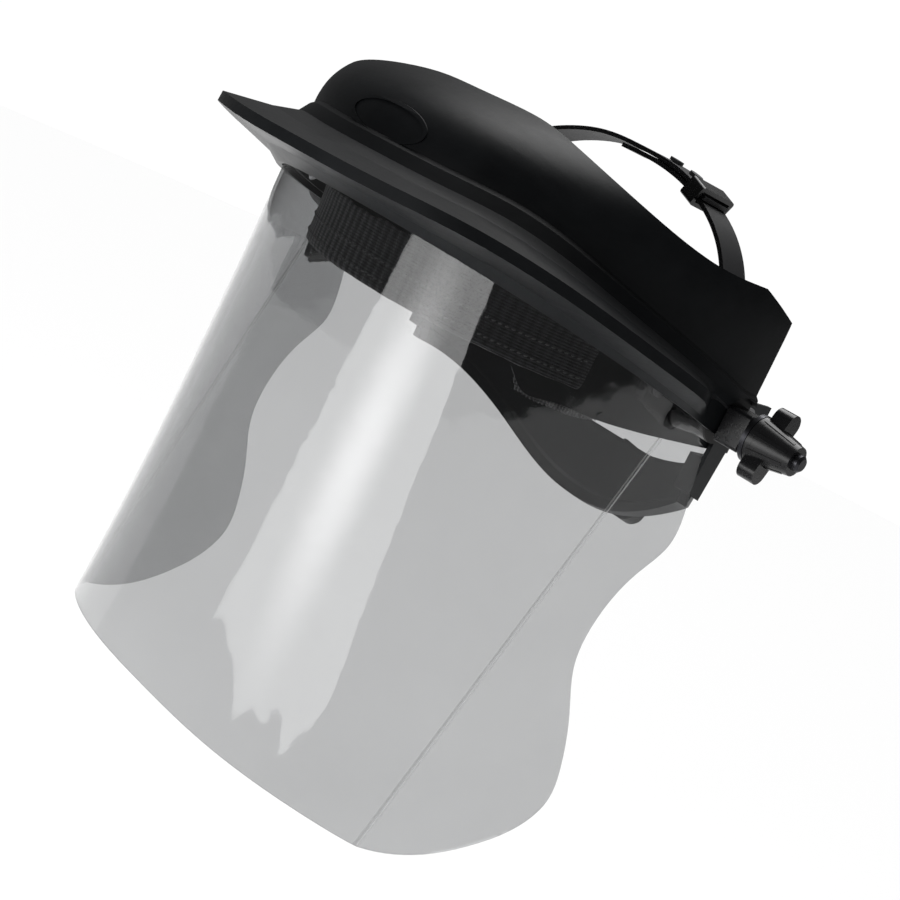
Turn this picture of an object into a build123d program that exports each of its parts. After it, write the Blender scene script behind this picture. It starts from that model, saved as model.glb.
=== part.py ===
from build123d import *
import os
from math import acos, copysign, cos, degrees, pi, radians, sin, sqrt

# Face shield: a crown guard with a clear visor, hinged at the temples on a
# headgear with a sweatband, a crown strap and a ratchet at the nape.
# Frame, in mm: the origin is the middle of the hinge line, +X is the wearer's
# left, -Y is the way the wearer looks, +Z is up.

os.makedirs("parts", exist_ok=True)

UP = Vector(0, 0, 1)
SIDES = (1, -1)
SIDE_NAMES = {1: "left", -1: "right"}

# ---- driving dimensions: guard and visor ----
SKIRT_HALF_WIDTH = 98.0
SKIRT_DEPTH = 98.4
SKIRT_POWER = 2.48
SKIRT_FRONT_Z = 15.1
SKIRT_REAR_Z = -5.7
RIM_HALF_WIDTH, RIM_DEPTH, RIM_POWER = 109.0, 137.0, 2.3
RIM_FRONT_Z, RIM_DROP = 24.6, 30.8
RIM_LEVEL_SHARE = 0.16
RIDGE_HALF_WIDTH, RIDGE_DEPTH = 100.5, 104.5
RIDGE_RISE = 12.3
DOME_HALF_WIDTH, DOME_DEPTH = 99.2, 102.4
DOME_BASE_Z, DOME_TOP_Z = 26.6, 63.7
DOME_LEAN_FRONT, DOME_LEAN_SIDE = 32.5, 12.6
EAR_TOP_Z = 45.5
WALL = 2.4
LIP_HEIGHT = 12.0

VISOR_THICKNESS = 1.0
VISOR_TOP_Z, VISOR_BOTTOM_Z = 32.0, -182.0
VISOR_TOP_DEPTH, VISOR_BOTTOM_DEPTH = 95.2, 103.0
VISOR_TOP_HALF_WIDTH, VISOR_BOTTOM_HALF_WIDTH = 94.8, 103.0

# ---- driving dimensions: hinge stack, outwards along X ----
BOLT_RADIUS = 3.0
BOLT_TIP_X = 128.5
ARM_INNER_X, ARM_OUTER_X = 76.4, 80.2
BOSS_RADIUS, BOSS_END_X = 9.0, 94.3
FRICTION_WASHER_X, FRICTION_WASHER_END_X = 94.4, 95.2
BLOCK_X, BLOCK_END_X, BLOCK_SIDE = 98.6, 108.6, 13.0
STEEL_WASHER_END_X = 110.4
KNOB_X, KNOB_END_X = 110.5, 126.0
RUNNING_CLEARANCE = 0.05
PIVOT_CLEAR_RADIUS = 11.0
PAD_RADIUS = 10.5
SEAT_X, SEAT_MIDDLE_Y, SEAT_LENGTH, SEAT_HEIGHT = 95.4, 0.0, 36.0, 26.0

# ---- driving dimensions: headgear ----
BAND_HALF_WIDTH, BAND_FRONT, BAND_POWER = 75.8, 84.5, 2.2
BAND_THICKNESS = 1.8
BAND_LOW_Z, BAND_HIGH_Z = -6.5, 20.0
BAND_REAR_Y = 50.0
BAND_SIDE_LOW_Z = -16.5
BAND_STEP_Y, BAND_STEP_END_Y = -66.0, -60.0
NAPE_HALF_WIDTH, NAPE_DEPTH, NAPE_POWER = 82.0, 92.0, 2.2
NAPE_THICKNESS = 2.2
NAPE_LEAN = 15.0
STRAP_WIDTH, STRAP_THICKNESS = 16.0, 1.6


def save(piece, name):
    """Label one finished piece and write its STEP file."""
    piece.label = name
    export_step(piece, f"parts/{name}.step")


def oval_point(half_width, depth, power, angle):
    """A point of a superellipse in plan; angle 0 is straight ahead, 90 the wearer's left."""
    s, c = sin(radians(angle)), cos(radians(angle))
    x = half_width * copysign(abs(s) ** (2 / power), s)
    y = -depth * copysign(abs(c) ** (2 / power), c)
    return Vector(x, y, 0)


def upright_plane(curve, angle, step=0.5):
    """The upright plane across a plan curve: local X points outwards and local Y up."""
    along = (curve(angle + step) - curve(angle - step)).normalized()
    outward = along.cross(UP)
    return Plane(origin=curve(angle), x_dir=outward, z_dir=outward.cross(UP))


def strip(curve, angles, section):
    """A strip along a plan curve; section(plane) gives its corners in the upright plane."""
    with BuildPart() as body:
        for angle in angles:
            plane = upright_plane(curve, angle)
            with BuildSketch(plane):
                with BuildLine():
                    Polyline(*section(plane), close=True)
                make_face()
        loft()
    return body.part


def oblong(low_r, high_r, low_z, high_z):
    """The corners of an upright rectangle in a strip's section."""
    return [(low_r, low_z), (high_r, low_z), (high_r, high_z), (low_r, high_z)]


# ------------------------------------------------------------------ crown guard
def skirt_curve(angle):
    """The skirt's outline in plan, which runs straight back behind the hinge."""
    if abs(angle) <= 90:
        return oval_point(SKIRT_HALF_WIDTH, SKIRT_DEPTH, SKIRT_POWER, angle)
    return Vector(copysign(SKIRT_HALF_WIDTH, angle), abs(angle) - 90, 0)


def skirt_z(y):
    """Height of the skirt's lower edge, which falls towards the hinge."""
    return SKIRT_REAR_Z + (SKIRT_REAR_Z - SKIRT_FRONT_Z) * min(y, 0) / SKIRT_DEPTH


def rim_z(y):
    """Height of the brim's lower rim."""
    behind = min(max(1 + y / RIM_DEPTH, 0), 1) - RIM_LEVEL_SHARE
    return RIM_FRONT_Z - RIM_DROP * (behind + sqrt(behind * behind + 0.004)) / 2


def reach(plane, half_width, depth, power=2.0):
    """How far outwards from the skirt an oval lies, measured in an upright plane."""
    near, far = -5.0, 60.0
    for _ in range(40):
        middle = (near + far) / 2
        p = plane.origin + plane.x_dir * middle
        size = abs(p.X / half_width) ** power + abs(min(p.Y, 0) / depth) ** power
        near, far = (middle, far) if size < 1 else (near, middle)
    return near


def front_share(plane):
    """1 straight ahead, falling to 0 at the sides."""
    return plane.x_dir.Y ** 2


def dome_r(plane, z):
    """How far outwards the dome's outer face stands at a height."""
    share = front_share(plane)
    lean = DOME_LEAN_SIDE + (DOME_LEAN_FRONT - DOME_LEAN_SIDE) * share
    t = max((z - DOME_BASE_Z) / (DOME_TOP_Z - DOME_BASE_Z), 0)
    return reach(plane, DOME_HALF_WIDTH, DOME_DEPTH) - lean * t**3.7


def dome_edge_z(plane):
    """Height of the guard's open upper edge, high over the forehead and low at the ears."""
    forward = max((-plane.origin.Y * 0.72 - 26) / 44, 0)
    return EAR_TOP_Z + (DOME_TOP_Z - EAR_TOP_Z) * min(forward, 1) ** 1.5


def dome_point(plane, z, inset=0.0):
    """A point of the dome's wall at a height, moved in square to the wall."""
    slope = dome_r(plane, z + 0.1) - dome_r(plane, z - 0.1)
    size = sqrt(slope * slope + 0.04)
    return (dome_r(plane, z) - inset * 0.2 / size, z + inset * slope / size)


def brim_reach(plane):
    """How far the rim stands out from the skirt, fading out ahead of the hinge."""
    fade = min(max((-plane.origin.Y - 18) / 14, 0), 1)
    return max(reach(plane, RIM_HALF_WIDTH, RIM_DEPTH, RIM_POWER) * fade, 1.3)


def guard_outline(plane):
    """The guard's section: skirt, brim, cove and ridge outside, hollow brim inside."""
    y = plane.origin.Y
    out = brim_reach(plane)
    low, rim = skirt_z(y), rim_z(y + out * plane.x_dir.Y)
    ridge = min(reach(plane, RIDGE_HALF_WIDTH, RIDGE_DEPTH), dome_r(plane, DOME_BASE_Z) + 1.6)
    ridge_z = rim + RIDGE_RISE
    span = max(out - ridge, 0)
    root_z = low + 0.42 * (rim - low)
    outer = [
        (0, low),
        (0.22 * out, root_z),
        (out, rim),
        (out - 0.4, rim + 3.6),
        (ridge + 0.42 * span + 0.1, rim + 5.8),
        (ridge + 0.1 * span + 0.05, rim + 8.2),
        (ridge, ridge_z),
        dome_point(plane, ridge_z + 1.2),
    ]
    inner = [
        (max(ridge - WALL, -WALL), rim + 9.0),
        (max(ridge + 0.05 * span - WALL + 0.4, -WALL), rim + 6.4),
        (max(ridge + 0.42 * span - WALL, -WALL), rim + 3.4),
        (max(out - 4.0, -WALL), rim + 2.0),
        (max(0.22 * out - 1.6, -WALL), root_z + 2.2),
        (-WALL, low + 2.0),
        (-WALL, low),
    ]
    return outer, inner


def wall_curves(plane, start_z):
    """Points up the dome's outer face and back down its inner face."""
    rise = dome_edge_z(plane) - start_z
    heights = [start_z + rise * i / 6 for i in range(7)]
    outside = [dome_point(plane, z) for z in heights]
    inside = [dome_point(plane, z, WALL) for z in reversed(heights)]
    return outside, inside


GUARD_ANGLES = [-100, -90, -82, -74, -62, -50, -38, -26, -13, 0,
                13, 26, 38, 50, 62, 74, 82, 90, 100]

with BuildPart() as guard_shell:
    for guard_angle in GUARD_ANGLES:
        guard_plane = upright_plane(skirt_curve, guard_angle)
        outer_line, inner_line = guard_outline(guard_plane)
        wall_out, wall_in = wall_curves(guard_plane, outer_line[-1][1])
        with BuildSketch(guard_plane):
            with BuildLine():
                Polyline(*outer_line)
                Spline(*wall_out)
                Line(wall_out[-1], wall_in[0])
                Spline(*wall_in)
                Polyline(wall_in[-1], *inner_line, outer_line[0])
            make_face()
    loft()

guard_lip = strip(
    skirt_curve,
    GUARD_ANGLES[1:-1],
    lambda plane: oblong(0.2 - WALL, -0.2, skirt_z(plane.origin.Y) + 0.6,
                         skirt_z(plane.origin.Y) + LIP_HEIGHT),
)

# a blank oval ring stands a little proud of the forehead
OVAL_X, OVAL_Z, OVAL_HALF_WIDTH, OVAL_HALF_HEIGHT = -5.5, 42.8, 18.4, 6.6
OVAL_LINE = 1.2


def ring_section(plane):
    """A thin layer that starts inside the dome's wall and ends just outside it."""
    heights = [OVAL_Z - 10, OVAL_Z - 5, OVAL_Z, OVAL_Z + 5, OVAL_Z + 10]
    outside = [dome_point(plane, z, -0.6) for z in heights]
    inside = [dome_point(plane, z, 1.2) for z in reversed(heights)]
    return outside + inside


oval_layer = strip(skirt_curve, [-26, -13, 0, 13, 26], ring_section)
with BuildPart() as oval_prism:
    with BuildSketch(Plane.XZ.offset(60)):
        with Locations((OVAL_X, OVAL_Z)):
            Ellipse(OVAL_HALF_WIDTH, OVAL_HALF_HEIGHT)
            Ellipse(OVAL_HALF_WIDTH - OVAL_LINE, OVAL_HALF_HEIGHT - OVAL_LINE, mode=Mode.SUBTRACT)
    extrude(amount=70)
oval_ring = oval_prism.part & oval_layer

# side outline of the ears, seen along X
EAR_OUTLINE = [
    (-200, -60), (-15, -60), (-9.5, -9), (0, -11), (9, -6), (8.6, 2),
    (6, 10), (5, 38.5), (-19.5, 46.8), (-32, 80), (-200, 80),
]

with BuildPart() as ear_trim:
    with BuildSketch(Plane.YZ):
        with BuildLine():
            Polyline(*EAR_OUTLINE, close=True)
        make_face()
    extrude(amount=160, both=True)

# a strip behind the visor's top edge, and the rivets that hold both in the skirt
RIVET_ANGLES = (-66, -38, 0, 38, 66)
RIVET_RADIUS, RIVET_HEAD_RADIUS = 2.0, 4.0
RIVET_RISE = 6.5


def lip_strip_section(plane):
    """The retaining strip stands just inside the visor."""
    low = skirt_z(plane.origin.Y) + 2.0
    return oblong(-6.6, -4.6, low, low + 9.0)


def rivet_plane(angle, r):
    """A plane square to the skirt, at a depth inside it and at the rivets' height."""
    plane = upright_plane(skirt_curve, angle)
    centre = plane.origin + plane.x_dir * r + UP * (skirt_z(plane.origin.Y) + RIVET_RISE)
    return Plane(origin=centre, x_dir=UP, z_dir=plane.x_dir)


with BuildPart() as rivet_holes:
    for rivet_angle in RIVET_ANGLES:
        with BuildSketch(rivet_plane(rivet_angle, -9)):
            Circle(RIVET_RADIUS + 0.15)
        extrude(amount=8.2)

with BuildPart() as crown_guard:
    add(guard_shell.part)
    add(guard_lip)
    add(oval_ring)
    add(ear_trim.part, mode=Mode.INTERSECT)
    with BuildSketch(Plane.YZ):
        Circle(BOLT_RADIUS + RUNNING_CLEARANCE)
    extrude(amount=120, both=True, mode=Mode.SUBTRACT)
    add(rivet_holes.part, mode=Mode.SUBTRACT)
    for side in SIDES:
        with BuildSketch(Plane.YZ.offset(side * BLOCK_X)):
            Circle(PAD_RADIUS)
        extrude(amount=side * 6, mode=Mode.SUBTRACT)
        # flat seat inside, against the friction washer and the visor's ears
        with BuildSketch(Plane.YZ.offset(side * SEAT_X)):
            with Locations((SEAT_MIDDLE_Y, 1)):
                Rectangle(SEAT_LENGTH, SEAT_HEIGHT)
        extrude(amount=-side * 12, mode=Mode.SUBTRACT)
save(crown_guard.part, "crown_guard")


# ------------------------------------------------------------------------ visor
CREASE_Y, CREASE_SLOPE = -22.5, 0.276
CREASE_X, CREASE_X_SLOPE = 93.3, 0.045
VISOR_REAR_Y = 14.0
VISOR_TOP_POWER, VISOR_BOTTOM_POWER = 2.48, 2.9


def blend(top, bottom, z):
    """A visor dimension at a height, changing evenly from top to bottom."""
    return top + (bottom - top) * (VISOR_TOP_Z - z) / (VISOR_TOP_Z - VISOR_BOTTOM_Z)


def visor_front(z, inset):
    """Points from crease to crease round the front of the visor."""
    depth = blend(VISOR_TOP_DEPTH, VISOR_BOTTOM_DEPTH, z) - inset
    power = blend(VISOR_TOP_POWER, VISOR_BOTTOM_POWER, z)
    crease_x = CREASE_X + CREASE_X_SLOPE * z - inset
    crease_y = CREASE_Y + CREASE_SLOPE * z + 0.25 * inset
    width = crease_x / (1 - (-crease_y / depth) ** power) ** (1 / power)
    last = degrees(acos((-crease_y / depth) ** (power / 2)))
    return [oval_point(width, depth, power, last * i / 7) for i in range(-7, 8)]


with BuildPart() as visor:
    for level in (VISOR_TOP_Z, VISOR_BOTTOM_Z):
        outer_front = visor_front(level, 0)
        inner_front = visor_front(level, VISOR_THICKNESS)
        rear_x = blend(VISOR_TOP_HALF_WIDTH, VISOR_BOTTOM_HALF_WIDTH, level)
        rear = [(side * (rear_x - inset), VISOR_REAR_Y) for side in SIDES
                for inset in (0, VISOR_THICKNESS)]
        with BuildSketch(Plane.XY.offset(level)):
            with BuildLine():
                Spline(*outer_front)
                Polyline(outer_front[-1], rear[0], rear[1], inner_front[-1])
                Spline(*reversed(inner_front))
                Polyline(inner_front[0], rear[3], rear[2], outer_front[0])
            make_face()
    loft(ruled=True)
    # side outline: tucked into the skirt, hollowed at the throat, lobed at the jaw
    with BuildSketch(Plane.YZ):
        with BuildLine():
            Polyline((-1, -11.5), (-1, -6), (-7, 6), (-14, skirt_z(-14) + LIP_HEIGHT - 1),
                     (-120, skirt_z(-120) + LIP_HEIGHT - 1), (-120, -163), (-103, -165))
            Spline((-103, -165), (-86, -167.5), (-62, -173), (-38, -173.2), (-17, -167.6),
                   (-3.5, -160.5), (4.5, -150), (3.5, -136), (-5.5, -113), (-14, -94),
                   (-13.5, -78), (-4.5, -59), (4.5, -47), (3.5, -31), (-1, -11.5))
        make_face()
    extrude(amount=130, both=True, mode=Mode.INTERSECT)
    with BuildSketch(Plane.YZ):
        Circle(PIVOT_CLEAR_RADIUS)
    extrude(amount=130, both=True, mode=Mode.SUBTRACT)
    add(rivet_holes.part, mode=Mode.SUBTRACT)
save(visor.part, "visor")

with BuildPart() as retaining_strip:
    add(strip(skirt_curve, [-78, -70, -62, -50, -38, -26, -13, 0,
                            13, 26, 38, 50, 62, 70, 78], lip_strip_section))
    add(rivet_holes.part, mode=Mode.SUBTRACT)
save(retaining_strip.part, "retaining_strip")

with BuildPart() as visor_rivets:
    for rivet_angle in RIVET_ANGLES:
        with BuildSketch(rivet_plane(rivet_angle, -1.2)):
            Circle(RIVET_RADIUS)
        extrude(amount=-6.4)
        with BuildSketch(rivet_plane(rivet_angle, -6.95)):
            Circle(RIVET_HEAD_RADIUS)
        with BuildSketch(rivet_plane(rivet_angle, -8.8)):
            Circle(RIVET_HEAD_RADIUS - 1.4)
        loft()
save(visor_rivets.part, "visor_rivets")

# ----------------------------------------------------------------- hinge hardware
WING_REACH, WING_RADIUS, WING_THICKNESS = 9.4, 4.0, 6.4
WING_TURN = 72.0
ARM_HEIGHT = 11.0
ARM_FRONT_Y, ARM_REAR_Y = -27.0, 21.0
ARM_PIN_Y = (-21.0, 15.5)
NUT_ACROSS_FLATS, NUT_THICKNESS = 10.0, 6.0
NECK_SIDE, NECK_CLEARANCE = 6.6, 0.1
BOLT_HEAD_RADIUS = 6.5


def across(side, x):
    """The plane square to the hinge line at a distance out on one side, facing outwards."""
    return Plane(origin=(side * x, 0, 0), x_dir=(0, side, 0), z_dir=(side, 0, 0))


for side, side_name in SIDE_NAMES.items():
    with BuildPart() as pivot_arm:
        with BuildSketch(across(side, ARM_INNER_X)):
            with BuildLine():
                Polyline((side * ARM_FRONT_Y, -5), (side * -8, -ARM_HEIGHT), (side * 8, -ARM_HEIGHT),
                         (side * ARM_REAR_Y, -7), (side * ARM_REAR_Y, 8), (side * 4, 13),
                         (side * ARM_FRONT_Y, 9), close=True)
            make_face()
        extrude(amount=ARM_OUTER_X - ARM_INNER_X)
        fillet(pivot_arm.edges().filter_by(Axis.X), radius=3)
        with BuildSketch(across(side, ARM_OUTER_X)):
            Circle(BOSS_RADIUS + 1.5)
        with BuildSketch(across(side, ARM_OUTER_X + 8)):
            Circle(BOSS_RADIUS)
        loft()
        with BuildSketch(across(side, ARM_OUTER_X + 8)):
            Circle(BOSS_RADIUS)
        extrude(amount=BOSS_END_X - ARM_OUTER_X - 8)
        with BuildSketch(across(side, ARM_INNER_X)):
            Circle(BOLT_RADIUS + RUNNING_CLEARANCE)
        extrude(amount=BOSS_END_X - ARM_INNER_X, mode=Mode.SUBTRACT)
        with BuildSketch(across(side, ARM_INNER_X)):
            Rectangle(NECK_SIDE + NECK_CLEARANCE, NECK_SIDE + NECK_CLEARANCE)
            with Locations(*[(side * y, 1.5) for y in ARM_PIN_Y]):
                Circle(1.6)
        extrude(amount=ARM_OUTER_X - ARM_INNER_X, mode=Mode.SUBTRACT)
    save(pivot_arm.part, f"pivot_arm_{side_name}")

    with BuildPart() as arm_rivets:
        for pin_y in ARM_PIN_Y:
            with BuildSketch(across(side, ARM_OUTER_X + 0.05)):
                with Locations((side * pin_y, 1.5)):
                    Circle(3.0)
            extrude(amount=1.3)
            with BuildSketch(across(side, ARM_OUTER_X + 0.1)):
                with Locations((side * pin_y, 1.5)):
                    Circle(1.5)
            extrude(amount=-(ARM_OUTER_X - BAND_HALF_WIDTH + BAND_THICKNESS))
    save(arm_rivets.part, f"arm_rivets_{side_name}")

    with BuildPart() as pivot_bolt:
        with BuildSketch(across(side, ARM_INNER_X)):
            Circle(BOLT_RADIUS)
        extrude(amount=BOLT_TIP_X - ARM_INNER_X)
        chamfer(pivot_bolt.faces().sort_by(Axis.X)[-1 if side > 0 else 0].edges(), 0.8)
        with BuildSketch(across(side, BAND_HALF_WIDTH + 0.05)):
            Circle(BOLT_HEAD_RADIUS)
        with BuildSketch(across(side, BAND_HALF_WIDTH - BAND_THICKNESS - 1.2)):
            Circle(BOLT_HEAD_RADIUS - 1)
        loft()
        with BuildSketch(across(side, BAND_HALF_WIDTH)):
            Rectangle(NECK_SIDE, NECK_SIDE)
        extrude(amount=ARM_OUTER_X - BAND_HALF_WIDTH - 0.3)
    save(pivot_bolt.part, f"pivot_bolt_{side_name}")

    with BuildPart() as friction_washer:
        with BuildSketch(across(side, FRICTION_WASHER_X)):
            Circle(BOSS_RADIUS)
            Circle(BOLT_RADIUS + RUNNING_CLEARANCE, mode=Mode.SUBTRACT)
        extrude(amount=FRICTION_WASHER_END_X - FRICTION_WASHER_X)
    save(friction_washer.part, f"friction_washer_{side_name}")

    with BuildPart() as pivot_block:
        with BuildSketch(across(side, BLOCK_X + 0.05)):
            RectangleRounded(BLOCK_SIDE, BLOCK_SIDE, 1.2)
        extrude(amount=BLOCK_END_X - BLOCK_X - 0.05)
        chamfer(pivot_block.faces().sort_by(Axis.X)[-1 if side > 0 else 0].edges(), 0.8)
        with BuildSketch(across(side, BLOCK_X)):
            Circle(BOLT_RADIUS + RUNNING_CLEARANCE)
        extrude(amount=BLOCK_END_X - BLOCK_X, mode=Mode.SUBTRACT)
    save(pivot_block.part, f"pivot_block_{side_name}")

    with BuildPart() as steel_washer:
        with BuildSketch(across(side, BLOCK_END_X + 0.05)):
            Circle(8.6)
            Circle(BOLT_RADIUS + RUNNING_CLEARANCE, mode=Mode.SUBTRACT)
        extrude(amount=STEEL_WASHER_END_X - BLOCK_END_X - 0.1)
    save(steel_washer.part, f"steel_washer_{side_name}")

    with BuildPart() as wing_knob:
        with BuildSketch(across(side, KNOB_X)):
            Circle(8.4)
        with BuildSketch(across(side, KNOB_X + 2)):
            Circle(8.0)
        loft()
        with BuildSketch(across(side, KNOB_X + 2)):
            Circle(7.9)
        with BuildSketch(across(side, KNOB_END_X)):
            Circle(5.2)
        loft()
        with BuildSketch(across(side, KNOB_X + 1)):
            SlotCenterToCenter(2 * WING_REACH, 2 * WING_RADIUS, rotation=WING_TURN)
        extrude(amount=WING_THICKNESS)
        for rib_turn in range(0, 360, 45):
            with BuildSketch(across(side, KNOB_X + 1)):
                with PolarLocations(7.1, 1, start_angle=rib_turn + WING_TURN):
                    Rectangle(2.6, 1.5)
            with BuildSketch(across(side, KNOB_END_X - 2)):
                with PolarLocations(4.7, 1, start_angle=rib_turn + WING_TURN):
                    Rectangle(2.2, 1.1)
            loft()
        with BuildSketch(across(side, KNOB_X)):
            RegularPolygon(NUT_ACROSS_FLATS / 2 + 0.1, 6, major_radius=False)
        extrude(amount=NUT_THICKNESS + 0.1, mode=Mode.SUBTRACT)
        with BuildSketch(across(side, KNOB_X)):
            Circle(BOLT_RADIUS + RUNNING_CLEARANCE)
        extrude(amount=KNOB_END_X - KNOB_X, mode=Mode.SUBTRACT)
    save(wing_knob.part, f"wing_knob_{side_name}")

    with BuildPart() as knob_nut:
        with BuildSketch(across(side, KNOB_X + 0.05)):
            RegularPolygon(NUT_ACROSS_FLATS / 2, 6, major_radius=False)
            Circle(BOLT_RADIUS + RUNNING_CLEARANCE, mode=Mode.SUBTRACT)
        extrude(amount=NUT_THICKNESS)
    save(knob_nut.part, f"knob_nut_{side_name}")

# ---------------------------------------------------- front headband and sweatband
SLIDE_PIN_Y, SLIDE_PIN_Z, SLIDE_PIN_RADIUS = 44.0, -1.0, 2.0
SLIDE_FORWARD, SLIDE_BACK = 10.0, 6.0
SWEATBAND_LOW_Z, SWEATBAND_HIGH_Z = -9.6, 16.0
PAD_DEPTH = 6.5
STRAP_BASE_Y, STRAP_TOP_Y, STRAP_RIVET_Z = 14.0, 23.8, 16.0


def band_curve(angle):
    """The headband's outer face in plan, straight back behind the hinge."""
    if abs(angle) <= 90:
        return oval_point(BAND_HALF_WIDTH, BAND_FRONT, BAND_POWER, angle)
    return Vector(copysign(BAND_HALF_WIDTH, angle), abs(angle) - 90, 0)


def band_section(plane):
    """The headband reaches lower at the sides than in front and narrows behind the hinge."""
    y = plane.origin.Y
    behind = max(y, 0) / BAND_REAR_Y
    drop = min(max((y - BAND_STEP_Y) / (BAND_STEP_END_Y - BAND_STEP_Y), 0), 1)
    low = BAND_LOW_Z + (BAND_SIDE_LOW_Z - BAND_LOW_Z) * drop
    return oblong(-BAND_THICKNESS, 0, low, BAND_HIGH_Z - 12 * behind)


def sweatband_section(plane):
    """A folded band: a thin face outside, a thick pad inside, joined under the headband."""
    gap = 0.4
    inside = -BAND_THICKNESS - gap
    return [
        (inside - PAD_DEPTH, SWEATBAND_HIGH_Z), (inside - PAD_DEPTH, SWEATBAND_LOW_Z),
        (2.2, SWEATBAND_LOW_Z), (2.2, SWEATBAND_HIGH_Z - 2), (gap, SWEATBAND_HIGH_Z - 2),
        (gap, BAND_LOW_Z - gap), (inside, BAND_LOW_Z - gap), (inside, SWEATBAND_HIGH_Z),
    ]


BAND_ANGLES = [-140, -127, -115, -102, -95, -90, -87, -80, -68, -54, -48, -43.5, -39, -26, -13,
               0, 13, 26, 39, 43.5, 48, 54, 68, 80, 87, 90, 95, 102, 115, 127, 140]

with BuildPart() as front_headband:
    add(strip(band_curve, BAND_ANGLES, band_section))
    for side in SIDES:
        with BuildSketch(across(side, BAND_HALF_WIDTH - 4)):
            with Locations(*[(side * y, 1.5) for y in ARM_PIN_Y[1:]]):
                Circle(1.6)
            with Locations((side * SLIDE_PIN_Y, SLIDE_PIN_Z)):
                Circle(SLIDE_PIN_RADIUS + RUNNING_CLEARANCE)
            with Locations((side * STRAP_BASE_Y, STRAP_RIVET_Z)):
                Circle(1.6)
            Circle(BOLT_HEAD_RADIUS + 0.25)
        extrude(amount=8, mode=Mode.SUBTRACT)
        with BuildSketch(across(side, BAND_HALF_WIDTH - 9)):
            with Locations((side * ARM_PIN_Y[0], 1.5)):
                Circle(1.6)
        extrude(amount=12, mode=Mode.SUBTRACT)
save(front_headband.part, "front_headband")

TAIL_ANGLES = (39, 44, 50, 56, 62)
with BuildPart() as sweatband:
    add(strip(band_curve, [-37.5, -30, -20, -10, 0, 10, 20, 30, 37.5], sweatband_section))
    for side in SIDES:
        tail_angles = [side * angle for angle in TAIL_ANGLES]
        add(strip(band_curve, tail_angles, lambda plane: oblong(
            -BAND_THICKNESS - 0.4 - PAD_DEPTH, -BAND_THICKNESS - 0.4,
            SWEATBAND_LOW_Z, SWEATBAND_HIGH_Z)))
        add(strip(band_curve, tail_angles, lambda plane: oblong(
            0.4, 2.2, SWEATBAND_LOW_Z, SWEATBAND_HIGH_Z - 2)))
save(sweatband.part, "sweatband")

# ------------------------------------------------------------------- crown strap
STRAP_HALF_SPAN, STRAP_BASE_Z, STRAP_RISE, STRAP_POWER = 72.6, 5.0, 63.5, 2.3
STRAP_LAP = 2.0
LAP_PEG_TURNS = (72, 80)
LAP_HOLE_TURNS = (72, 80, 88)


def strap_point(turn):
    """The strap's middle line; turn 0 is at the wearer's left temple, 90 at the crown."""
    point = oval_point(STRAP_HALF_SPAN, STRAP_RISE, STRAP_POWER, 90 - turn)
    lift = max(sin(radians(turn)), 0)
    y = STRAP_BASE_Y + (STRAP_TOP_Y - STRAP_BASE_Y) * lift
    return Vector(point.X, y, STRAP_BASE_Z - point.Y)


def strap_plane(turn):
    """The plane across the strap: local X along its width, local Y outwards."""
    along = (strap_point(turn + 1) - strap_point(turn - 1)).normalized()
    outward = along.cross(Vector(0, 1, 0)).normalized()
    return Plane(origin=strap_point(turn), x_dir=outward.cross(along), z_dir=along)


def lap_lift(turn):
    """How far the upper strap rides over the lower one."""
    return OUTWARD * STRAP_LAP * min(max((125 - turn) / 25, 0), 1)


def strap_length(turns, lift):
    """A flat length of strap through the given turns, raised by lift(turn)."""
    with BuildPart() as body:
        for turn in turns:
            with BuildSketch(strap_plane(turn)):
                with Locations((0, lift(turn))):
                    Rectangle(STRAP_WIDTH, STRAP_THICKNESS)
        loft()
    return body.part


def peg_plane(turn, lift):
    """A plane along the strap's face, facing outwards."""
    plane = strap_plane(turn)
    return Plane(origin=plane.origin + plane.y_dir * lift, x_dir=plane.x_dir, z_dir=plane.y_dir)


OUTWARD = 1 if strap_plane(90).y_dir.Z > 0 else -1

with BuildPart() as strap_rivet_holes:
    for side in SIDES:
        with BuildSketch(across(side, BAND_HALF_WIDTH - 8)):
            with Locations((side * STRAP_BASE_Y, STRAP_RIVET_Z)):
                Circle(1.6)
        extrude(amount=9)

with BuildPart() as crown_strap_left:
    add(strap_length([2, 12, 24, 36, 48, 60, 72, 82, 92], lambda turn: 0))
    for turn in LAP_PEG_TURNS:
        with BuildSketch(peg_plane(turn, -3)):
            Circle(1.65)
        extrude(amount=6, mode=Mode.SUBTRACT)
    add(strap_rivet_holes.part, mode=Mode.SUBTRACT)
save(crown_strap_left.part, "crown_strap_left")

with BuildPart() as crown_strap_right:
    add(strap_length([60, 68, 78, 90, 100, 108, 117, 126, 138, 150, 162, 174, 178],
                     lap_lift))
    for turn in LAP_HOLE_TURNS:
        with BuildSketch(peg_plane(turn, -1)):
            Circle(1.65)
        extrude(amount=6, both=True, mode=Mode.SUBTRACT)
    add(strap_rivet_holes.part, mode=Mode.SUBTRACT)
save(crown_strap_right.part, "crown_strap_right")

with BuildPart() as strap_pegs:
    for turn in LAP_PEG_TURNS:
        with BuildSketch(peg_plane(turn, OUTWARD * -0.75)):
            Circle(1.5)
        extrude(amount=OUTWARD * 4.2)
        with BuildSketch(peg_plane(turn, OUTWARD * 2.95)):
            Circle(2.8)
        extrude(amount=OUTWARD * 1.2)
save(strap_pegs.part, "strap_pegs")

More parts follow.
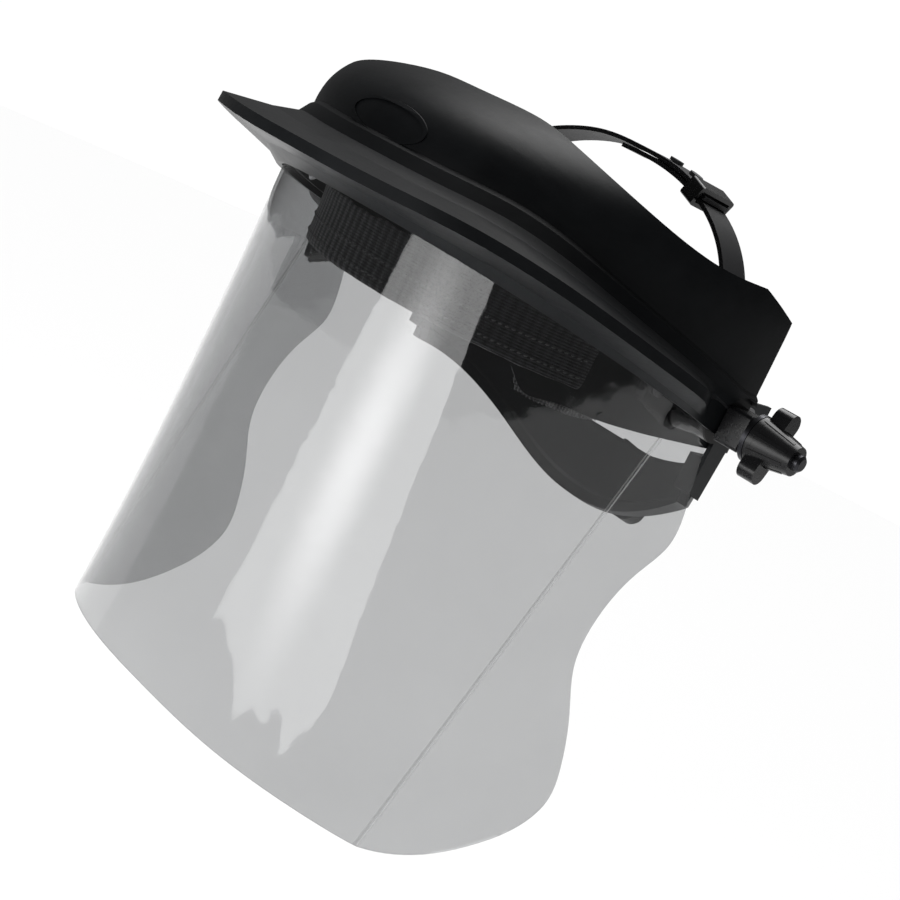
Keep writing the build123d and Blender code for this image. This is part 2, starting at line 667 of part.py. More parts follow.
KEEPER_TURN, KEEPER_LENGTH = 64, 7.0
with BuildPart() as strap_keeper:
    with BuildSketch(strap_plane(KEEPER_TURN)):
        with Locations((0, OUTWARD * STRAP_LAP / 2)):
            RectangleRounded(STRAP_WIDTH + 5.4, STRAP_LAP + STRAP_THICKNESS + 4.4, 1.5)
            Rectangle(STRAP_WIDTH + 1.6, STRAP_LAP + STRAP_THICKNESS + 1.2, mode=Mode.SUBTRACT)
    extrude(amount=KEEPER_LENGTH / 2, both=True)
save(strap_keeper.part, "strap_keeper")

with BuildPart() as strap_rivets:
    for side in SIDES:
        rivet_start = STRAP_HALF_SPAN - STRAP_THICKNESS / 2 - 2.4
        with BuildSketch(across(side, rivet_start)):
            with Locations((side * STRAP_BASE_Y, STRAP_RIVET_Z)):
                Circle(3.2)
        extrude(amount=1.2)
        with BuildSketch(across(side, rivet_start)):
            with Locations((side * STRAP_BASE_Y, STRAP_RIVET_Z)):
                Circle(1.5)
        extrude(amount=BAND_HALF_WIDTH - rivet_start)
        with BuildSketch(across(side, BAND_HALF_WIDTH + 0.05)):
            with Locations((side * STRAP_BASE_Y, STRAP_RIVET_Z)):
                Circle(3.0)
        extrude(amount=0.9)
        with BuildSketch(across(side, BAND_HALF_WIDTH - 0.1)):
            with Locations((side * STRAP_BASE_Y, STRAP_RIVET_Z)):
                Circle(1.5)
        extrude(amount=0.3)
save(strap_rivets.part, "strap_rivets")

# ---------------------------------------------------------------------- nape band
NAPE_MID_Z, NAPE_DIP = -30.0, 27.0
NAPE_SIDE_HEIGHT, NAPE_REAR_HEIGHT = 17.0, 30.0
NAPE_ANGLES = [-68, -56, -44, -32, -20, -10, 0, 10, 20, 32, 44, 56, 68]
TAB_X, TAB_THICKNESS = 76.5, 1.8
TAB_FRONT_Y, TAB_REAR_Y = 31.5, 60.0


def nape_curve(angle):
    """The nape band's outer face in plan; angle 0 is straight behind."""
    point = oval_point(NAPE_HALF_WIDTH, NAPE_DEPTH, NAPE_POWER, angle)
    return Vector(-point.X, -point.Y, 0)


def nape_section(plane):
    """The band dips, widens and leans under the skull at the rear, with a rolled lower rim."""
    rear = max(plane.origin.Y, 0) / NAPE_DEPTH
    middle = NAPE_MID_Z - NAPE_DIP * rear**4
    half = (NAPE_SIDE_HEIGHT + (NAPE_REAR_HEIGHT - NAPE_SIDE_HEIGHT) * rear**4) / 2
    lean = radians(NAPE_LEAN) * rear**2
    corners = [
        (-1.2, -half), (NAPE_THICKNESS + 1.0, -half), (NAPE_THICKNESS + 1.0, 4.5 - half),
        (NAPE_THICKNESS, 6 - half), (NAPE_THICKNESS, half), (0, half), (0, 6 - half),
        (-1.2, 4.5 - half),
    ]
    return [((r - NAPE_THICKNESS) * cos(lean) + h * sin(lean),
             middle + h * cos(lean) - (r - NAPE_THICKNESS) * sin(lean)) for r, h in corners]


with BuildPart() as nape_band:
    add(strip(nape_curve, NAPE_ANGLES, nape_section))
    for side in SIDES:
        with BuildSketch(across(side, TAB_X)):
            with BuildLine():
                Polyline((side * TAB_FRONT_Y, -7), (side * 33, -7), (side * 33, -34),
                         (side * 42, -36), (side * 45, -7), (side * TAB_REAR_Y, -7),
                         (side * TAB_REAR_Y, 5), (side * TAB_FRONT_Y, 5), close=True)
            make_face()
        extrude(amount=TAB_THICKNESS)
        with BuildSketch(across(side, TAB_X + 0.2)):
            with BuildLine():
                Polyline((side * 33, -20), (side * 33, -34), (side * 42, -36), (side * 42, -20),
                         close=True)
            make_face()
        extrude(amount=-5.5)
        with BuildSketch(across(side, TAB_X)):
            with Locations((side * (SLIDE_PIN_Y + (SLIDE_FORWARD - SLIDE_BACK) / 2), SLIDE_PIN_Z)):
                SlotCenterToCenter(SLIDE_FORWARD + SLIDE_BACK + 0.4,
                                   2 * (SLIDE_PIN_RADIUS + RUNNING_CLEARANCE + 0.05))
        extrude(amount=TAB_THICKNESS, mode=Mode.SUBTRACT)

save(nape_band.part, "nape_band")

with BuildPart() as slide_pins:
    for side in SIDES:
        pin_spot = (side * SLIDE_PIN_Y, SLIDE_PIN_Z)
        with BuildSketch(across(side, BAND_HALF_WIDTH - BAND_THICKNESS - 1.1)):
            with Locations(pin_spot):
                Circle(4.0)
        extrude(amount=1.0)
        with BuildSketch(across(side, BAND_HALF_WIDTH - BAND_THICKNESS - 1.0)):
            with Locations(pin_spot):
                Circle(SLIDE_PIN_RADIUS)
        extrude(amount=TAB_X + TAB_THICKNESS - BAND_HALF_WIDTH + BAND_THICKNESS + 1.5)
        with BuildSketch(across(side, TAB_X + TAB_THICKNESS + 0.4)):
            with Locations(pin_spot):
                Circle(4.2)
        extrude(amount=1.2)
save(slide_pins.part, "slide_pins")

# ------------------------------------------------------------------ nape ratchet
# Everything here stands on the leaning rear face of the nape band.
RATCHET_RISE = 2.0
lean_angle = radians(NAPE_LEAN)
RATCHET_PLANE = Plane(origin=(0, NAPE_DEPTH + 1.6, NAPE_MID_Z - NAPE_DIP + RATCHET_RISE),
                      x_dir=(-1, 0, 0), z_dir=(0, cos(lean_angle), -sin(lean_angle)))
HOUSING_WIDTH, HOUSING_HEIGHT, HOUSING_DEPTH = 58.0, 29.0, 6.2
HOUSING_WALL = 1.6
PITCH_RADIUS, TOOTH_COUNT = 6.0, 10
RACK_BACK, RACK_THICKNESS = 2.4, 2.6
RACK_LENGTH, RACK_DEPTH = 46.0, 4.0
TOOTH_PITCH = 2 * pi * PITCH_RADIUS / TOOTH_COUNT
TOOTH_HEIGHT, TOOTH_WIDTH = 1.5, 1.4
RACK_REACH = 38.0
SPINDLE_RADIUS = 2.5
RATCHET_KNOB_RADIUS, RATCHET_KNOB_DEPTH, SCALLOPS = 16.0, 8.6, 14


def ratchet_level(height):
    """A plane parallel to the ratchet's base, at a height above it."""
    return RATCHET_PLANE.offset(height)


with BuildPart() as ratchet_housing:
    with BuildSketch(ratchet_level(0)):
        RectangleRounded(HOUSING_WIDTH, HOUSING_HEIGHT, 6)
    extrude(amount=HOUSING_DEPTH)
    with BuildSketch(ratchet_level(0)):
        with Locations((20, 3), (-20, 3)):
            Circle(3.5)
    extrude(amount=-2.6)
    with BuildSketch(ratchet_level(HOUSING_WALL)):
        RectangleRounded(HOUSING_WIDTH - 2 * HOUSING_WALL, HOUSING_HEIGHT - 2 * HOUSING_WALL, 4.4)
    extrude(amount=HOUSING_DEPTH, mode=Mode.SUBTRACT)
    with BuildSketch(ratchet_level(RACK_BACK - 0.3)):
        for turn in (1, -1):
            with Locations((turn * HOUSING_WIDTH / 2, -turn * (PITCH_RADIUS + RACK_DEPTH / 2 + 0.9))):
                Rectangle(10, RACK_DEPTH + 1.0)
    extrude(amount=RACK_THICKNESS + 0.6, mode=Mode.SUBTRACT)
save(ratchet_housing.part, "ratchet_housing")

with BuildPart() as ratchet_cover:
    with BuildSketch(ratchet_level(HOUSING_DEPTH + 0.05)):
        RectangleRounded(HOUSING_WIDTH, HOUSING_HEIGHT, 6)
        Circle(SPINDLE_RADIUS + RUNNING_CLEARANCE, mode=Mode.SUBTRACT)
    extrude(amount=1.8)
    chamfer(ratchet_cover.faces().sort_by(Axis.Y)[-1].outer_wire().edges(), 0.8)
save(ratchet_cover.part, "ratchet_cover")

with BuildPart() as ratchet_pinion:
    with BuildSketch(ratchet_level(RACK_BACK)):
        Circle(PITCH_RADIUS - TOOTH_HEIGHT / 2 - 0.2)
        with PolarLocations(PITCH_RADIUS - 0.8, TOOTH_COUNT):
            Rectangle(2 * TOOTH_HEIGHT, TOOTH_WIDTH - 0.2)
    extrude(amount=RACK_THICKNESS)
    with BuildSketch(ratchet_level(HOUSING_WALL + 0.2)):
        Circle(SPINDLE_RADIUS)
    extrude(amount=HOUSING_DEPTH + RATCHET_KNOB_DEPTH - 1)
save(ratchet_pinion.part, "ratchet_pinion")

for rack_side, rack_name in ((-1, "upper"), (1, "lower")):
    rack_line = PITCH_RADIUS + TOOTH_HEIGHT / 2 + 0.2
    with BuildPart() as rack_strap:
        with BuildSketch(ratchet_level(RACK_BACK)):
            with Locations((rack_side * (RACK_REACH - RACK_LENGTH / 2 - 4),
                            -rack_side * (rack_line + RACK_DEPTH / 2))):
                Rectangle(RACK_LENGTH + 8, RACK_DEPTH)
            for tooth in range(-3, 6):
                with Locations((rack_side * tooth * TOOTH_PITCH, -rack_side * PITCH_RADIUS)):
                    Rectangle(TOOTH_WIDTH, 2 * TOOTH_HEIGHT - 1.6)
                with Locations((rack_side * tooth * TOOTH_PITCH,
                                -rack_side * (PITCH_RADIUS + TOOTH_HEIGHT / 2))):
                    Rectangle(TOOTH_WIDTH, TOOTH_HEIGHT)
        extrude(amount=RACK_THICKNESS)
    save(rack_strap.part, f"rack_{rack_name}")

KNOB_BASE = HOUSING_DEPTH + 2.2
with BuildPart() as ratchet_knob:
    with BuildSketch(ratchet_level(KNOB_BASE)):
        Circle(RATCHET_KNOB_RADIUS)
        with PolarLocations(RATCHET_KNOB_RADIUS + 1.4, SCALLOPS):
            Circle(2.9, mode=Mode.SUBTRACT)
    extrude(amount=RATCHET_KNOB_DEPTH)
    with BuildSketch(ratchet_level(KNOB_BASE + RATCHET_KNOB_DEPTH - 2.5)):
        Circle(RATCHET_KNOB_RADIUS - 5)
    extrude(amount=5, mode=Mode.SUBTRACT)
    with BuildSketch(ratchet_level(KNOB_BASE)):
        Circle(RATCHET_KNOB_RADIUS - 4.5)
    with BuildSketch(ratchet_level(KNOB_BASE + RATCHET_KNOB_DEPTH - 0.8)):
        Circle(4.2)
    loft()
    with BuildSketch(ratchet_level(KNOB_BASE)):
        Circle(SPINDLE_RADIUS + RUNNING_CLEARANCE)
    extrude(amount=RATCHET_KNOB_DEPTH + 1, mode=Mode.SUBTRACT)
save(ratchet_knob.part, "ratchet_knob")

with BuildPart() as knob_screw:
    with BuildSketch(ratchet_level(KNOB_BASE + RATCHET_KNOB_DEPTH - 0.7)):
        Circle(3.6)
    extrude(amount=1.4)
    fillet(knob_screw.edges().sort_by(Axis.Y)[-1], 0.6)
    with BuildSketch(ratchet_level(KNOB_BASE + RATCHET_KNOB_DEPTH + 0.1)):
        Rectangle(5.0, 0.9)
        Rectangle(0.9, 5.0)
    extrude(amount=2, mode=Mode.SUBTRACT)
save(knob_screw.part, "knob_screw")

with BuildPart() as cover_screws:
    for spot_x, spot_y in ((24, 10), (-24, 10), (24, -10), (-24, -10)):
        with BuildSketch(ratchet_level(HOUSING_DEPTH + 1.9)):
            with Locations((spot_x, spot_y)):
                Circle(2.2)
        extrude(amount=0.9)
save(cover_screws.part, "cover_screws")
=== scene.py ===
import math

import bmesh
import bpy
from mathutils import Matrix, Vector


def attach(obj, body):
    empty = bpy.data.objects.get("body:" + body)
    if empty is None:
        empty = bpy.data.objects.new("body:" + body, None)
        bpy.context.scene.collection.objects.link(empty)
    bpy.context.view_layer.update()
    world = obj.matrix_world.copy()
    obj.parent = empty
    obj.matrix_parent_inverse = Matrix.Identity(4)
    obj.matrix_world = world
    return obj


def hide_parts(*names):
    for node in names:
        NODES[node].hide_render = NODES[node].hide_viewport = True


# A face shield on its headgear. Metres; the origin is the middle of the hinge line,
# +X is the wearer's left, -Y is the way the wearer looks and +Z is up.

MM = 0.001
# the visor's folds, down which a painted highlight line runs, lie where y = FOLD_Y + FOLD_SLOPE * z,
# from FOLD_TOP_Z down, in metres
FOLD_Y, FOLD_SLOPE = -0.0225, 0.276
FOLD_TOP_Z = -0.012
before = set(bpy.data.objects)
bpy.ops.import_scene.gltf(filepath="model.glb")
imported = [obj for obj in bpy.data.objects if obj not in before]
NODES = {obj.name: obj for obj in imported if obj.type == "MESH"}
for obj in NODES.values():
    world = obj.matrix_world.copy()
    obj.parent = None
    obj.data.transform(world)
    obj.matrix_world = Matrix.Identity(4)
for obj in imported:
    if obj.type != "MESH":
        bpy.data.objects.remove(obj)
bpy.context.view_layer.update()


# ------------------------------------------------------------------ camera and light
def camera(azimuth, elevation, roll, lens, place):
    """A camera that looks from an azimuth and elevation, rolled about its line of sight."""
    a, e, r = (math.radians(v) for v in (azimuth, elevation, roll))
    back = Vector((math.sin(a) * math.cos(e), -math.cos(a) * math.cos(e), math.sin(e)))
    right = (-back).cross(Vector((0, 0, 1))).normalized()
    up = right.cross(-back)
    across = math.cos(r) * right + math.sin(r) * up
    upward = math.cos(r) * up - math.sin(r) * right
    data = bpy.data.cameras.new("camera")
    data.lens, data.sensor_width = lens, 36.0
    data.clip_start, data.clip_end = 0.01, 50.0
    obj = bpy.data.objects.new("camera", data)
    bpy.context.collection.objects.link(obj)
    turn = Matrix((across, upward, back)).transposed().to_4x4()
    obj.matrix_world = Matrix.Translation(place) @ turn
    bpy.context.scene.camera = obj


CAMERA_AZIMUTH, CAMERA_ELEVATION, CAMERA_ROLL = 37.57, 12.05, 25.36
CAMERA_LENS = 60.3
CAMERA_PLACE = (0.3399, -0.4461, 0.0581)
camera(CAMERA_AZIMUTH, CAMERA_ELEVATION, CAMERA_ROLL, CAMERA_LENS, CAMERA_PLACE)
bpy.context.scene.view_settings.view_transform = "Standard"
ROOM_LIGHT, SKY_LIGHT, BACKDROP_LIGHT = 0.14, 3.35, 1.02
SKY_SOFTNESS = math.radians(50)
SKY_TILT = (math.radians(-22), math.radians(-14), 0)
FLOOR_Z, FLOOR_RADIUS = -0.75, 6.0


# ------------------------------------------------------------------------ materials
def new_material(name):
    """A material with its Principled shader and the point on the object, in metres."""
    mat = bpy.data.materials.new(name)
    mat.use_nodes = True
    tree = mat.node_tree
    shader = tree.nodes["Principled BSDF"]
    point = tree.nodes.new("ShaderNodeTexCoord").outputs["Object"]
    return mat, tree, shader, point


def noise(tree, point, scale, detail=3.0, stretch=(1, 1, 1), rough=0.55):
    """A noise value at a number of features per metre, drawn out along an axis."""
    placed = tree.nodes.new("ShaderNodeMapping")
    placed.inputs["Scale"].default_value = stretch
    tree.links.new(point, placed.inputs["Vector"])
    tex = tree.nodes.new("ShaderNodeTexNoise")
    tex.inputs["Scale"].default_value = scale
    tex.inputs["Detail"].default_value = detail
    tex.inputs["Roughness"].default_value = rough
    tree.links.new(placed.outputs["Vector"], tex.inputs["Vector"])
    return tex.outputs["Fac"]


def ramp(tree, value, stops):
    """A colour ramp; stops are (position, colour or grey)."""
    node = tree.nodes.new("ShaderNodeValToRGB")
    while len(node.color_ramp.elements) < len(stops):
        node.color_ramp.elements.new(0.5)
    for element, (place, colour) in zip(node.color_ramp.elements, stops):
        element.position = place
        if isinstance(colour, (int, float)):
            colour = (colour, colour, colour)
        element.color = (*colour, 1)
    tree.links.new(value, node.inputs["Fac"])
    return node.outputs["Color"]


def maths(tree, kind, a, b=None):
    """A Math node; each side is a number or a socket."""
    node = tree.nodes.new("ShaderNodeMath")
    node.operation = kind
    for socket, value in zip(node.inputs, (a, b)):
        if value is None:
            continue
        if isinstance(value, (int, float)):
            socket.default_value = value
        else:
            tree.links.new(value, socket)
    return node.outputs["Value"]


def bump(tree, shader, height, distance, strength=1.0, before=None):
    """Adds one layer of relief, in metres, over the layer before it."""
    node = tree.nodes.new("ShaderNodeBump")
    node.inputs["Distance"].default_value = distance
    node.inputs["Strength"].default_value = strength
    tree.links.new(height, node.inputs["Height"])
    if before is not None:
        tree.links.new(before, node.inputs["Normal"])
    tree.links.new(node.outputs["Normal"], shader.inputs["Normal"])
    return node.outputs["Normal"]


def moulded(name, dark, light, rough, grain, scuffs=0.5, coat=0.0, gloss=0.16):
    """Moulded plastic: fine grain, cloudy sheen, long fine scuffs and a little dust."""
    mat, tree, shader, point = new_material(name)
    cloud = noise(tree, point, 28, 4)
    scratch = noise(tree, point, 240, 5, (0.25, 1, 1.8), 0.7)
    dust = noise(tree, point, 900, 2)
    tone = maths(tree, "ADD", cloud, maths(tree, "MULTIPLY", scratch, 0.25 * scuffs))
    tree.links.new(ramp(tree, tone, [(0.35, dark), (0.85, light)]), shader.inputs["Base Color"])
    worn = maths(tree, "ADD", maths(tree, "MULTIPLY", cloud, 0.16),
                 maths(tree, "MULTIPLY", scratch, 0.14 * scuffs))
    speck = maths(tree, "ADD", worn, maths(tree, "MULTIPLY", dust, 0.06))
    tree.links.new(maths(tree, "ADD", speck, rough - 0.17), shader.inputs["Roughness"])
    shader.inputs["Specular IOR Level"].default_value = gloss
    shader.inputs["Coat Weight"].default_value = coat
    shader.inputs["Coat Roughness"].default_value = 0.25
    first = bump(tree, shader, noise(tree, point, grain, 2), 0.00006, 0.25)
    bump(tree, shader, scratch, 0.00006, 0.25 * scuffs, first)
    return mat


def metal(name, colour, rough, stretch=(1, 1, 1)):
    """Plated metal with fine drawn lines and dull patches."""
    mat, tree, shader, point = new_material(name)
    shader.inputs["Metallic"].default_value = 1.0
    lines = noise(tree, point, 1500, 3, stretch)
    patches = noise(tree, point, 180, 3)
    dull = tuple(c * 0.55 for c in colour)
    tree.links.new(ramp(tree, patches, [(0.3, dull), (0.62, colour)]),
                   shader.inputs["Base Color"])
    tree.links.new(maths(tree, "ADD", maths(tree, "MULTIPLY", lines, 0.22), rough - 0.08),
                   shader.inputs["Roughness"])
    bump(tree, shader, lines, 0.00004, 0.4)
    return mat


def rubber(name):
    """Matt black rubber with a pitted face."""
    mat, tree, shader, point = new_material(name)
    pits = noise(tree, point, 2200, 2)
    tree.links.new(ramp(tree, pits, [(0.3, 0.006), (0.8, 0.02)]), shader.inputs["Base Color"])
    tree.links.new(maths(tree, "ADD", maths(tree, "MULTIPLY", pits, 0.2), 0.7),
                   shader.inputs["Roughness"])
    bump(tree, shader, pits, 0.0001, 0.5)
    return mat


def clear_sheet(name, tint, rough):
    """Clear plastic sheet: grey tint, mirror-like gloss, faint rub marks and a painted highlight down
    the folds.
    """
    mat, tree, shader, point = new_material(name)
    tree.nodes.remove(shader)
    out = tree.nodes["Material Output"]
    clear = tree.nodes.new("ShaderNodeBsdfTransparent")
    haze = noise(tree, point, 16, 3)
    tree.links.new(ramp(tree, haze, [(0.3, tuple(t * 0.97 for t in tint)), (0.75, tint)]),
                   clear.inputs["Color"])
    gloss = tree.nodes.new("ShaderNodeBsdfGlossy")
    rub = noise(tree, point, 60, 4, (1, 1, 0.2), 0.6)
    tree.links.new(maths(tree, "ADD", maths(tree, "MULTIPLY", rub, 0.03), rough),
                   gloss.inputs["Roughness"])
    ripple = tree.nodes.new("ShaderNodeBump")
    ripple.inputs["Distance"].default_value = 0.0008
    ripple.inputs["Strength"].default_value = 0.2
    tree.links.new(noise(tree, point, 18, 0, (1, 1, 0.35)), ripple.inputs["Height"])
    tree.links.new(ripple.outputs["Normal"], gloss.inputs["Normal"])
    # both faces of the sheet reflect alike: 4% face on, rising to all at a graze
    facing = tree.nodes.new("ShaderNodeLayerWeight")
    facing.inputs["Blend"].default_value = 0.5
    graze = maths(tree, "POWER", facing.outputs["Facing"], 5.0)
    share = maths(tree, "ADD", maths(tree, "MULTIPLY", graze, 0.7), 0.04)
    mix = tree.nodes.new("ShaderNodeMixShader")
    tree.links.new(share, mix.inputs["Fac"])
    tree.links.new(clear.outputs["BSDF"], mix.inputs[1])
    tree.links.new(gloss.outputs["BSDF"], mix.inputs[2])
    # painted highlight: a pale diffuse line is mixed in down the folds on both sides, standing in for
    # the light the creases catch
    axis = tree.nodes.new("ShaderNodeSeparateXYZ")
    tree.links.new(point, axis.inputs["Vector"])
    fold_y = maths(tree, "ADD", maths(tree, "MULTIPLY", axis.outputs[2], FOLD_SLOPE), FOLD_Y)
    away = maths(tree, "ABSOLUTE", maths(tree, "SUBTRACT", axis.outputs[1], fold_y))
    fold_highlight_mask = ramp(tree, maths(tree, "MULTIPLY", away, 400.0), [(0.08, 0.42), (0.26, 0.0)])
    below = maths(tree, "LESS_THAN", axis.outputs[2], FOLD_TOP_Z)
    # painted highlight: the pale diffuse shader that draws the fold line
    painted_fold_highlight = tree.nodes.new("ShaderNodeBsdfDiffuse")
    painted_fold_highlight.inputs["Color"].default_value = (0.7, 0.7, 0.7, 1)
    sheet_with_fold_highlight = tree.nodes.new("ShaderNodeMixShader")
    tree.links.new(maths(tree, "MULTIPLY", fold_highlight_mask, below), sheet_with_fold_highlight.inputs["Fac"])
    tree.links.new(mix.outputs["Shader"], sheet_with_fold_highlight.inputs[1])
    tree.links.new(painted_fold_highlight.outputs["BSDF"], sheet_with_fold_highlight.inputs[2])
    tree.links.new(sheet_with_fold_highlight.outputs["Shader"], out.inputs["Surface"])
    return mat


def ribbed_fabric(name, ribs, dark, light, edge_z=None):
    """Ribbed knit: upright ribs round the head, rows of loops, fluff, painted shade down the grooves
    and a pale raw edge.
    """
    mat, tree, shader, point = new_material(name)
    axis = tree.nodes.new("ShaderNodeSeparateXYZ")
    tree.links.new(point, axis.inputs["Vector"])
    x, y, z = axis.outputs
    turn = maths(tree, "ARCTAN2", x, maths(tree, "MULTIPLY", y, -1.0))
    wander = maths(tree, "MULTIPLY", noise(tree, point, 60, 2), 0.9)
    rib = maths(tree, "SINE", maths(tree, "ADD", maths(tree, "MULTIPLY", turn, ribs), wander))
    loop = maths(tree, "SINE", maths(tree, "ADD", maths(tree, "MULTIPLY", z, 6200.0), wander))
    weave = maths(tree, "ADD", maths(tree, "MULTIPLY", rib, 0.5),
                  maths(tree, "MULTIPLY", loop, 0.22))
    fluff = noise(tree, point, 1700, 3)
    height = maths(tree, "ADD", weave, fluff)
    # painted shade: the colour follows the rib and loop relief, darker down the grooves, with random
    # fluff tone on top
    shade = maths(tree, "ADD", maths(tree, "MULTIPLY", weave, 0.4), fluff)
    colour = ramp(tree, shade, [(0.2, dark), (0.95, light)])
    if edge_z is not None:
        ragged = maths(tree, "ADD", z, maths(tree, "MULTIPLY", noise(tree, point, 700, 4), 0.0022))
        raw = maths(tree, "LESS_THAN", ragged, edge_z)
        mix = tree.nodes.new("ShaderNodeMix")
        mix.data_type = "RGBA"
        tree.links.new(raw, mix.inputs["Factor"])
        tree.links.new(colour, mix.inputs["A"])
        mix.inputs["B"].default_value = (0.16, 0.16, 0.16, 1)
        colour = mix.outputs["Result"]
    tree.links.new(colour, shader.inputs["Base Color"])
    shader.inputs["Roughness"].default_value = 0.95
    shader.inputs["Sheen Weight"].default_value = 0.25
    shader.inputs["Sheen Roughness"].default_value = 0.5
    bump(tree, shader, height, 0.0006, 0.8)
    return mat


def thread(name):
    """Twisted sewing thread."""
    mat, tree, shader, point = new_material(name)
    ply = noise(tree, point, 3000, 2)
    tree.links.new(ramp(tree, ply, [(0.3, 0.05), (0.8, 0.17)]), shader.inputs["Base Color"])
    shader.inputs["Roughness"].default_value = 0.8
    bump(tree, shader, ply, 0.0001, 0.6)
    return mat


FINISH = {
    "guard": moulded("guard_black", (0.003, 0.0034, 0.0039), (0.009, 0.0098, 0.0108), 0.42, 1500,
                     0.8, gloss=0.08),
    "band": moulded("band_black", (0.0035, 0.004, 0.0048), (0.009, 0.0105, 0.012), 0.44, 1100,
                    0.5),
    "strap": moulded("strap_black", (0.007, 0.007, 0.008), (0.02, 0.02, 0.022), 0.5, 1300, 0.6),
    "hinge": moulded("hinge_black", (0.003, 0.003, 0.0034), (0.008, 0.008, 0.0088), 0.3, 900, 0.4,
                     0.2),
    "grey": moulded("keeper_grey", (0.05, 0.052, 0.054), (0.11, 0.112, 0.115), 0.42, 900, 0.6),
    "nylon": moulded("nylon_grey", (0.12, 0.122, 0.125), (0.2, 0.2, 0.205), 0.4, 900, 0.4),
    "visor": clear_sheet("clear_visor", (0.7, 0.703, 0.706), 0.015),
    "fabric": ribbed_fabric("ribbed_cover", 150.0, (0.004, 0.004, 0.005), (0.028, 0.028, 0.031),
                            -0.0082),
    "pad": ribbed_fabric("ribbed_pad", 150.0, (0.004, 0.004, 0.005), (0.024, 0.024, 0.027)),
    "raw": ribbed_fabric("raw_edge", 420.0, (0.04, 0.04, 0.041), (0.2, 0.2, 0.2)),
    "steel": metal("zinc_steel", (0.6, 0.6, 0.61), 0.3, (1, 1, 0.1)),
    "blacked": metal("blacked_steel", (0.045, 0.045, 0.05), 0.34, (0.1, 1, 1)),
    "rivet": metal("rivet_metal", (0.5, 0.5, 0.51), 0.34),
    "rubber": rubber("washer_rubber"),
    "thread": thread("sewing_thread"),
}

BY_NODE = {
    "guard": ["crown_guard", "retaining_strip"],
    "band": ["front_headband", "nape_band", "ratchet_housing", "ratchet_cover"],
    "strap": ["crown_strap_left", "crown_strap_right"],
    "hinge": ["pivot_arm_left", "pivot_arm_right", "pivot_block_left", "pivot_block_right",
              "wing_knob_left", "wing_knob_right", "ratchet_knob", "strap_keeper"],
    "grey": ["strap_pegs"],
    "nylon": ["slide_pins", "ratchet_pinion", "rack_upper", "rack_lower"],
    "visor": ["visor"],
    "blacked": ["pivot_bolt_left", "pivot_bolt_right", "steel_washer_left",
                "steel_washer_right"],
    "steel": ["knob_nut_left", "knob_nut_right", "knob_screw", "cover_screws"],
    "rivet": ["visor_rivets", "strap_rivets", "arm_rivets_left", "arm_rivets_right"],
    "rubber": ["friction_washer_left", "friction_washer_right"],
}


def dress(obj, mat):
    """Gives an object one material."""
    if obj.material_slots:
        for held in obj.material_slots:
            held.material = mat
    else:
        obj.data.materials.append(mat)


for finish, names in BY_NODE.items():
    for node_name in names:
        dress(NODES[node_name], FINISH[finish])


# ------------------------------------------------------------------------ sweatband
BAND_HALF, BAND_FRONT, BAND_POWER = 75.8, 84.5, 2.2
COVER_END = 61.0
TUCK_START, TUCK_END = 36.0, 38.5
# the headband's lower edge, in mm, drops between two places along each side
LOW_FRONT, LOW_SIDE = -6.5, -16.5
DROP_START_Y, DROP_END_Y = -66.0, -60.0


def band_point(angle, r, z):
    """A point beside the headband: angle 0 in front, r outwards from its outer face, in mm."""
    def on_band(turn):
        s, c = math.sin(math.radians(turn)), math.cos(math.radians(turn))
        return Vector((BAND_HALF * math.copysign(abs(s) ** (2 / BAND_POWER), s),
                       -BAND_FRONT * abs(c) ** (2 / BAND_POWER), 0))
    along = (on_band(angle + 0.5) - on_band(angle - 0.5)).normalized()
    outward = along.cross(Vector((0, 0, 1)))
    return (on_band(angle) + outward * r + Vector((0, 0, z))) * MM


def new_object(name, mesh_builder, mat):
    """An object from a bmesh, with smooth faces and a material."""
    mesh = bpy.data.meshes.new(name)
    bmesh.ops.recalc_face_normals(mesh_builder, faces=mesh_builder.faces)
    mesh_builder.to_mesh(mesh)
    mesh_builder.free()
    for face in mesh.polygons:
        face.use_smooth = True
    obj = bpy.data.objects.new(name, mesh)
    bpy.context.collection.objects.link(obj)
    mesh.materials.append(mat)
    return obj


def closed_sweep(angles, section):
    """A closed strip round the band; section(angle) gives its corners as (r, z)."""
    build = bmesh.new()
    rings = [[build.verts.new(band_point(a, r, z)) for r, z in section(a)] for a in angles]
    for one, two in zip(rings, rings[1:]):
        for i in range(len(one)):
            j = (i + 1) % len(one)
            build.faces.new((one[i], one[j], two[j], two[i]))
    build.faces.new(rings[0])
    build.faces.new(list(reversed(rings[-1])))
    return build


def spread(low, high, count):
    return [low + (high - low) * i / (count - 1) for i in range(count)]


def ripple(angle, seed):
    """A slow uneven wave along the cloth, from -1 to 1."""
    return (math.sin(angle * 0.31 + seed) + math.sin(angle * 0.83 + 2 * seed)) / 2


def cover_section(angle):
    """Cloth up the headband's outer face, and folded under it where the band is shallow."""
    end = max(abs(angle) - 44, 0) / 17
    top = 12.6 + 0.7 * ripple(angle, 1.0) - 1.2 * end
    flare = 0.35 + 0.5 * end + 0.25 * ripple(angle, 2.0)
    out = [(0.55, -6.0), (0.6, -2), (0.65, 4), (0.75 + flare * 0.3, 9), (0.8 + flare, top)]
    thick = 1.15
    back = [(r + thick, z) for r, z in reversed(out)]
    wave = 0.2 * ripple(angle, 3.0)
    under = [(1.7, -8.2), (0.6, -9.2 + wave), (-1.6, -9.4), (-2.6, -8.4), (-2.5, -7.2),
             (-1.2, -7.4), (0.2, -7.2)]
    hem = [(1.7, -8.2), (1.3, -9.1 + wave), (0.8, -9.2 + wave), (0.6, -8.8), (0.55, -8.2),
           (0.55, -7.6), (0.55, -6.9)]
    tuck = min(max((TUCK_END - abs(angle)) / (TUCK_END - TUCK_START), 0), 1)
    fold = [(r0 + (r1 - r0) * tuck, z0 + (z1 - z0) * tuck)
            for (r0, z0), (r1, z1) in zip(hem, under)]
    return out + back + fold


